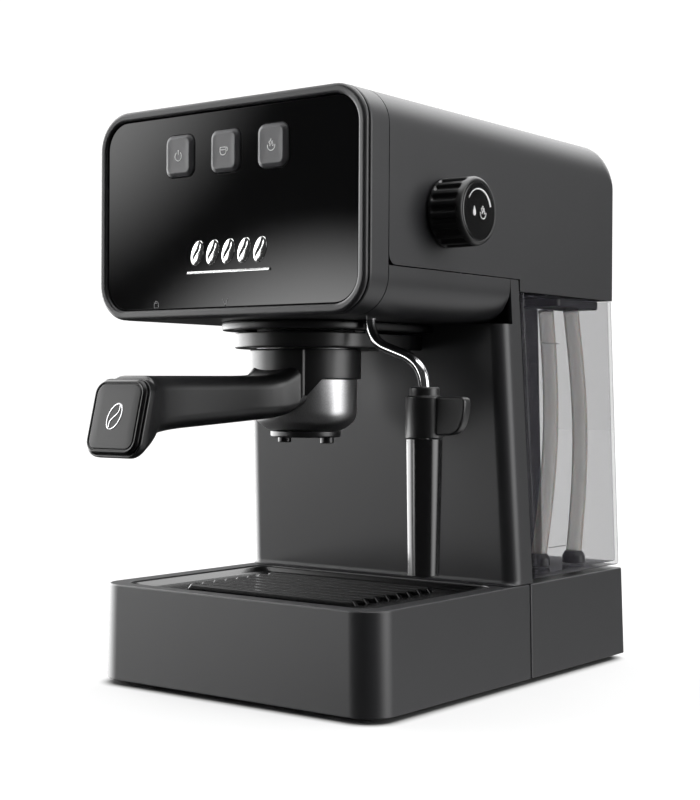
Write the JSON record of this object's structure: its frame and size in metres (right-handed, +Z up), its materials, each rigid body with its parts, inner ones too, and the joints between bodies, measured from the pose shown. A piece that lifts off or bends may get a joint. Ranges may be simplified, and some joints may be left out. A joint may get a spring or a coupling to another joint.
{
  "type": "espresso machine",
  "caption": "Compact pump espresso machine with lever filter holder, steam pipe, side steam knob, slide-out drip tray and clear rear tank.",
  "frame": {"origin": "middle of the footprint of the whole machine, on the surface that its feet stand on", "axes": "+Z up; +Y from the front panel to the rear; +X to the right of a user facing the front"},
  "size_m": [0.2282, 0.381, 0.3428],
  "materials": {
    "satin_black_plastic": "satin moulded",
    "gloss_black_plastic": "polished",
    "soft_black_plastic": "fine matt moulded",
    "grey_key_plastic": "satin",
    "circuit_board": "solder mask",
    "stainless_steel": "brushed",
    "polished_steel": "polished",
    "satin_alloy": "satin blasted",
    "brass": "machined",
    "black_rubber": "matt",
    "red_silicone": "matt",
    "clear_plastic": "clear, lightly smoked",
    "hose_silicone": "milky silicone"
  },
  "bodies": {
    "housing": {"front_bezel": "satin_black_plastic", "front_housing": "satin_black_plastic", "front_panel": "gloss_black_plastic", "button_board": "circuit_board", "head_shell": "satin_black_plastic", "top_cover": "satin_black_plastic", "fill_chute": "soft_black_plastic", "body_shell": "satin_black_plastic", "service_cover": "satin_black_plastic", "base_rear": "satin_black_plastic", "base_plate": "soft_black_plastic", "foot_front_left": "black_rubber", "foot_front_right": "black_rubber", "foot_rear_left": "black_rubber", "foot_rear_right": "black_rubber", "mains_gland": "black_rubber", "group_plate": "soft_black_plastic", "group_ring": "soft_black_plastic", "brew_head": "brass", "group_gasket": "black_rubber", "shower_screen": "stainless_steel", "screen_screw": "stainless_steel", "boiler_lower": "satin_alloy", "boiler_gasket": "red_silicone", "boiler_upper": "satin_alloy", "heating_element": "stainless_steel", "brew_thermostat": "brass", "thermal_fuse": "stainless_steel", "steam_thermostat": "brass", "steam_valve": "brass", "steam_feed_pipe": "stainless_steel", "wand_socket": "brass", "tube_coupling": "soft_black_plastic", "pump": "soft_black_plastic", "pump_mount_lower": "black_rubber", "pump_mount_upper": "black_rubber", "suction_hose": "hose_silicone", "pressure_hose": "hose_silicone", "power_board": "circuit_board"},
    "portafilter": {"filter_holder": "satin_alloy", "filter_basket": "stainless_steel", "pour_spout": "soft_black_plastic", "handle": "soft_black_plastic", "handle_cap": "gloss_black_plastic"},
    "steam_wand": {"steam_pipe": "polished_steel", "wand_grip": "soft_black_plastic", "wand_sleeve": "gloss_black_plastic"},
    "steam_tap": {"steam_knob": "soft_black_plastic", "knob_cap": "soft_black_plastic", "valve_stem": "stainless_steel"},
    "power_key": {"button_power": "grey_key_plastic"},
    "brew_key": {"button_brew": "grey_key_plastic"},
    "steam_key": {"button_steam": "grey_key_plastic"},
    "tray": {"drip_tray": "satin_black_plastic"},
    "grid": {"drip_grid": "soft_black_plastic"},
    "tank": {"water_tank": "clear_plastic", "tube_holder": "soft_black_plastic", "suction_tube": "hose_silicone", "return_tube": "hose_silicone"},
    "lid": {"fill_lid": "satin_black_plastic"}
  },
  "joints": [
    {"name": "portafilter_turn", "type": "hinge", "parent": "housing", "child": "portafilter", "pos_m": [-0.00872, -0.02587, 0.2], "axis": [0, 0, 1], "range_deg": [-30, 0]},
    {"name": "steam_wand_swivel", "type": "hinge", "parent": "housing", "child": "steam_wand", "pos_m": [0.04568, -0.03487, 0.229], "axis": [0, 0, 1], "range_deg": [-75, 60]},
    {"name": "steam_tap_turn", "type": "hinge", "parent": "housing", "child": "steam_tap", "pos_m": [0.09278, -0.02587, 0.2785], "axis": [1, 0, 0], "range_deg": [0, 180]},
    {"name": "drip_tray_slide", "type": "slide", "parent": "housing", "child": "tray", "axis": [0, -1, 0], "range_m": [0, 0.16]},
    {"name": "drip_grid_lift", "type": "slide", "parent": "tray", "child": "grid", "axis": [0, 0, 1], "range_m": [0, 0.009]},
    {"name": "water_tank_slide", "type": "slide", "parent": "housing", "child": "tank", "axis": [0, 1, 0], "range_m": [0, 0.12]},
    {"name": "fill_lid_hinge", "type": "hinge", "parent": "housing", "child": "lid", "pos_m": [0.03228, 0.16063, 0.3403], "axis": [-1, 0, 0], "range_deg": [0, 95]},
    {"name": "power_key_press", "type": "slide", "parent": "housing", "child": "power_key", "axis": [0, 1, 0], "range_m": [0, 0.0012], "stiffness_N_per_m": 1200, "springref_m": -0.0005},
    {"name": "brew_key_press", "type": "slide", "parent": "housing", "child": "brew_key", "axis": [0, 1, 0], "range_m": [0, 0.0012], "stiffness_N_per_m": 1200, "springref_m": -0.0005},
    {"name": "steam_key_press", "type": "slide", "parent": "housing", "child": "steam_key", "axis": [0, 1, 0], "range_m": [0, 0.0012], "stiffness_N_per_m": 1200, "springref_m": -0.0005}
  ]
}
